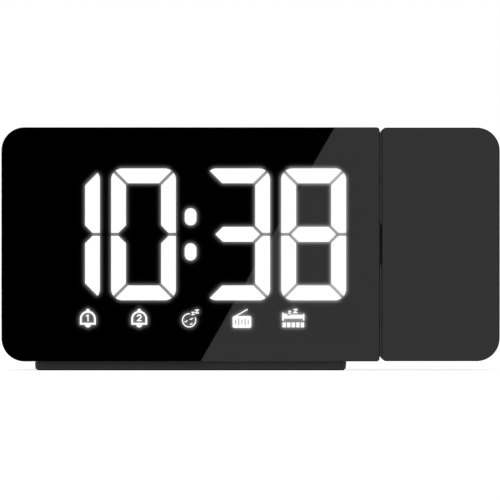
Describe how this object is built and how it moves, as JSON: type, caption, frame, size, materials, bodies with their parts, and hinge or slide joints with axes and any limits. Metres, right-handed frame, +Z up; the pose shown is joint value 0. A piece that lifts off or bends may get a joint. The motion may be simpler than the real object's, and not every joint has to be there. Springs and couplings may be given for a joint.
{
  "type": "projection alarm clock",
  "caption": "Flat digital alarm clock with a black glass-like front, white seven-segment digits, a low foot and a swivelling projector head at its right end.",
  "frame": {"origin": "on the table under the middle of the whole clock's box", "axes": "+X to the right as the display is read, towards the projector head; +Y from the display to the back; +Z up"},
  "size_m": [0.19, 0.04, 0.0927],
  "materials": {
    "lens_black": "polished tinted acrylic",
    "shell_black": "fine matt moulded ABS",
    "film_black": "printed black film",
    "light_white": "translucent white insert, lit from behind",
    "reflector_white": "white moulded plastic",
    "board_green": "solder-masked circuit board",
    "board_white": "white solder-masked aluminium board",
    "led_yellow": "phosphor-filled light-emitting diode",
    "screw_steel": "zinc-plated steel",
    "foot_black": "fine-textured moulded plastic",
    "rubber_black": "matt soft rubber",
    "chip_black": "moulded component packages",
    "jack_black": "moulded nylon with a plated pin",
    "plated_steel": "bright-plated sheet steel",
    "cone_paper": "doped paper",
    "magnet_grey": "ferrite magnet with a steel cap",
    "cell_steel": "nickel-plated steel can",
    "key_black": "satin moulded keys",
    "bush_acetal": "natural acetal",
    "spring_steel": "hardened spring steel",
    "lead_sleeve": "sleeved lead",
    "shaft_zinc": "die-cast metal",
    "sink_aluminium": "extruded aluminium",
    "tunnel_black": "matt black moulded plastic",
    "lens_clear": "clear optical acrylic",
    "lcd_glass": "liquid-crystal panel",
    "barrel_black": "matt black moulded plastic",
    "ring_black": "grooved grip ring",
    "trim_black": "satin trim ring"
  },
  "bodies": {
    "clock": {"front_lens": "lens_black", "front_frame": "shell_black", "display_film": "film_black", "digit_hour_tens": "light_white", "digit_hour_units": "light_white", "digit_minute_tens": "light_white", "digit_minute_units": "light_white", "colon_dots": "light_white", "icon_inserts": "light_white", "digit_reflector": "reflector_white", "display_board": "board_green", "display_leds": "led_yellow", "board_screws": "screw_steel", "rear_housing": "shell_black", "case_screws": "screw_steel", "foot": "foot_black", "foot_screws": "screw_steel", "foot_pad": "rubber_black", "main_board": "board_green", "board_parts": "chip_black", "power_jack": "jack_black", "usb_port": "plated_steel", "antenna_grommet": "rubber_black", "speaker_basket": "plated_steel", "speaker_cone": "cone_paper", "speaker_magnet": "magnet_grey", "cell_holder": "reflector_white", "coin_cell": "cell_steel", "key_board": "board_green", "key_switches": "plated_steel", "hub_bush": "bush_acetal", "friction_washer": "spring_steel", "body_lead": "lead_sleeve"},
    "battery_door": {"battery_door": "shell_black"},
    "snooze_bar": {"snooze_bar": "key_black"},
    "minus_key": {"minus_key": "key_black"},
    "plus_key": {"plus_key": "key_black"},
    "sleep_key": {"sleep_key": "key_black"},
    "radio_key": {"radio_key": "key_black"},
    "alarm_1_key": {"alarm_1_key": "key_black"},
    "alarm_2_key": {"alarm_2_key": "key_black"},
    "head": {"swivel_shaft": "shaft_zinc", "retaining_clip": "spring_steel", "head_lead": "lead_sleeve", "head_front": "shell_black", "head_back": "shell_black", "head_screws": "screw_steel", "heat_sink": "sink_aluminium", "led_board": "board_white", "led_emitter": "led_yellow", "light_tunnel": "tunnel_black", "condenser_lens": "lens_clear", "lcd_panel": "lcd_glass", "lens_carrier": "tunnel_black", "trim_ring": "trim_black", "head_board": "board_green"},
    "focus_ring": {"focus_ring": "ring_black"},
    "lens_barrel": {"lens_barrel": "barrel_black", "projection_lenses": "lens_clear"},
    "projector_key": {"projector_key": "key_black"}
  },
  "joints": [
    {"name": "head_swivel", "type": "hinge", "parent": "clock", "child": "head", "pos_m": [0.0499, -0.004, 0.04805], "axis": [1, 0, 0], "range_deg": [-90, 90]},
    {"name": "focus_turn", "type": "hinge", "parent": "head", "child": "focus_ring", "pos_m": [0.07245, 0.002, 0.074], "axis": [0, 0, 1], "range_deg": [-120, 120]},
    {"name": "lens_slide", "type": "slide", "parent": "head", "child": "lens_barrel", "axis": [0, 0, 1], "range_m": [-0.002, 0.002]},
    {"name": "projector_press", "type": "slide", "parent": "head", "child": "projector_key", "axis": [0, -1, 0], "range_m": [0, 0.0005], "stiffness_N_per_m": 800, "springref_m": -0.0006},
    {"name": "snooze_press", "type": "slide", "parent": "clock", "child": "snooze_bar", "axis": [0, 0, -1], "range_m": [0, 0.0008], "stiffness_N_per_m": 900, "springref_m": -0.0006},
    {"name": "minus_press", "type": "slide", "parent": "clock", "child": "minus_key", "axis": [0, 0, -1], "range_m": [0, 0.0005], "stiffness_N_per_m": 800, "springref_m": -0.0006},
    {"name": "plus_press", "type": "slide", "parent": "clock", "child": "plus_key", "axis": [0, 0, -1], "range_m": [0, 0.0005], "stiffness_N_per_m": 800, "springref_m": -0.0006},
    {"name": "sleep_press", "type": "slide", "parent": "clock", "child": "sleep_key", "axis": [0, 0, -1], "range_m": [0, 0.0005], "stiffness_N_per_m": 800, "springref_m": -0.0006},
    {"name": "radio_press", "type": "slide", "parent": "clock", "child": "radio_key", "axis": [0, 0, -1], "range_m": [0, 0.0005], "stiffness_N_per_m": 800, "springref_m": -0.0006},
    {"name": "alarm_1_press", "type": "slide", "parent": "clock", "child": "alarm_1_key", "axis": [0, 0, -1], "range_m": [0, 0.0005], "stiffness_N_per_m": 800, "springref_m": -0.0006},
    {"name": "alarm_2_press", "type": "slide", "parent": "clock", "child": "alarm_2_key", "axis": [0, 0, -1], "range_m": [0, 0.0005], "stiffness_N_per_m": 800, "springref_m": -0.0006},
    {"name": "battery_door_pull", "type": "slide", "parent": "clock", "child": "battery_door", "axis": [0, 1, 0], "range_m": [0, 0.02]}
  ],
  "couplings": [
    {"joint": "lens_slide", "follows": "focus_turn", "m_per_rad": 0.00095}
  ]
}
